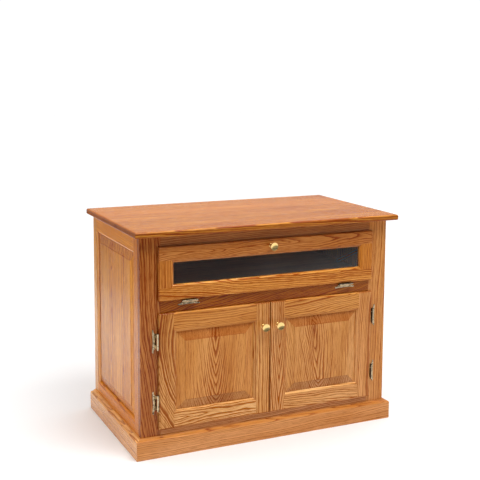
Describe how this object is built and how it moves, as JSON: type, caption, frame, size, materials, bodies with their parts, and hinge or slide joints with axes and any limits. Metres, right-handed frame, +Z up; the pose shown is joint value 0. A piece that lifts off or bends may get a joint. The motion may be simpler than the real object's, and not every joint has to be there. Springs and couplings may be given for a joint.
{
  "type": "television cabinet",
  "caption": "Free-standing oak cabinet that carries a flat television, with a drop-front glass door over a two-door panelled cupboard.",
  "frame": {"origin": "middle of the footprint, on the floor", "axes": "+X to the right seen from the front, +Y to the back, +Z up; the doors face -Y"},
  "size_m": [0.952, 0.543, 0.733],
  "materials": {
    "oak_frame": "satin clear finish over honey stain",
    "oak_top": "satin clear finish over honey stain",
    "oak_panel": "satin clear finish over honey stain",
    "oak_plywood": "thin clear finish",
    "plain_wood": "unfinished",
    "polished_brass": "polished",
    "antique_brass": "antiqued, satin",
    "zinc_steel": "zinc plated",
    "glass": "clear float glass, slightly grey",
    "brown_plastic": "matt"
  },
  "bodies": {
    "cabinet": {"top_panel": "oak_top", "left_side_front_stile": "oak_frame", "left_side_back_stile": "oak_frame", "left_side_top_rail": "oak_frame", "left_side_bottom_rail": "oak_frame", "left_side_panel": "oak_panel", "right_side_front_stile": "oak_frame", "right_side_back_stile": "oak_frame", "right_side_top_rail": "oak_frame", "right_side_bottom_rail": "oak_frame", "right_side_panel": "oak_panel", "face_frame_left_stile": "oak_frame", "face_frame_right_stile": "oak_frame", "face_frame_top_rail": "oak_frame", "face_frame_mid_rail": "oak_frame", "face_frame_bottom_rail": "oak_frame", "base_front_board": "oak_frame", "base_left_board": "oak_frame", "base_right_board": "oak_frame", "cupboard_floor": "oak_plywood", "fixed_shelf": "oak_plywood", "adjustable_shelf": "oak_plywood", "shelf_pins": "zinc_steel", "cleats_and_blocks": "plain_wood", "back_panel": "oak_plywood", "back_panel_screws": "zinc_steel", "magnetic_catches": "brown_plastic", "frame_hinge_leaves": "antique_brass", "hinge_pins": "antique_brass", "frame_hinge_and_stay_screws": "antique_brass"},
    "left_door": {"left_door_hinge_stile": "oak_frame", "left_door_meeting_stile": "oak_frame", "left_door_top_rail": "oak_frame", "left_door_bottom_rail": "oak_frame", "left_door_panel": "oak_panel", "left_door_knob": "polished_brass", "left_door_catch_strike": "zinc_steel", "left_door_hinge_leaves": "antique_brass", "left_door_hinge_screws": "antique_brass"},
    "right_door": {"right_door_hinge_stile": "oak_frame", "right_door_meeting_stile": "oak_frame", "right_door_top_rail": "oak_frame", "right_door_bottom_rail": "oak_frame", "right_door_panel": "oak_panel", "right_door_knob": "polished_brass", "right_door_catch_strike": "zinc_steel", "right_door_hinge_leaves": "antique_brass", "right_door_hinge_screws": "antique_brass"},
    "drop_door": {"drop_door_top_rail": "oak_frame", "drop_door_bottom_rail": "oak_frame", "drop_door_left_stile": "oak_frame", "drop_door_right_stile": "oak_frame", "drop_door_glass": "glass", "drop_door_glass_stops": "oak_frame", "drop_door_knob": "polished_brass", "drop_door_catch_strike": "zinc_steel", "drop_door_hinge_leaves": "antique_brass", "drop_door_hinge_screws": "antique_brass", "stay_bracket": "zinc_steel"},
    "stay": {"stay_arm": "zinc_steel"}
  },
  "joints": [
    {"name": "left_door_hinge", "type": "hinge", "parent": "cabinet", "child": "left_door", "pos_m": [-0.3965, -0.2475, 0.27675], "axis": [0, 0, -1], "range_deg": [0, 110]},
    {"name": "right_door_hinge", "type": "hinge", "parent": "cabinet", "child": "right_door", "pos_m": [0.3965, -0.2475, 0.27675], "axis": [0, 0, 1], "range_deg": [0, 110]},
    {"name": "drop_door_hinge", "type": "hinge", "parent": "cabinet", "child": "drop_door", "pos_m": [0, -0.2475, 0.5005], "axis": [1, 0, 0], "range_deg": [0, 90]},
    {"name": "stay_pivot", "type": "hinge", "parent": "drop_door", "child": "stay", "pos_m": [0.373, -0.2185, 0.6155], "axis": [1, 0, 0], "range_deg": [-45, 0]}
  ],
  "couplings": [
    {"joint": "stay_pivot", "follows": "drop_door_hinge", "ratio": -0.5}
  ]
}
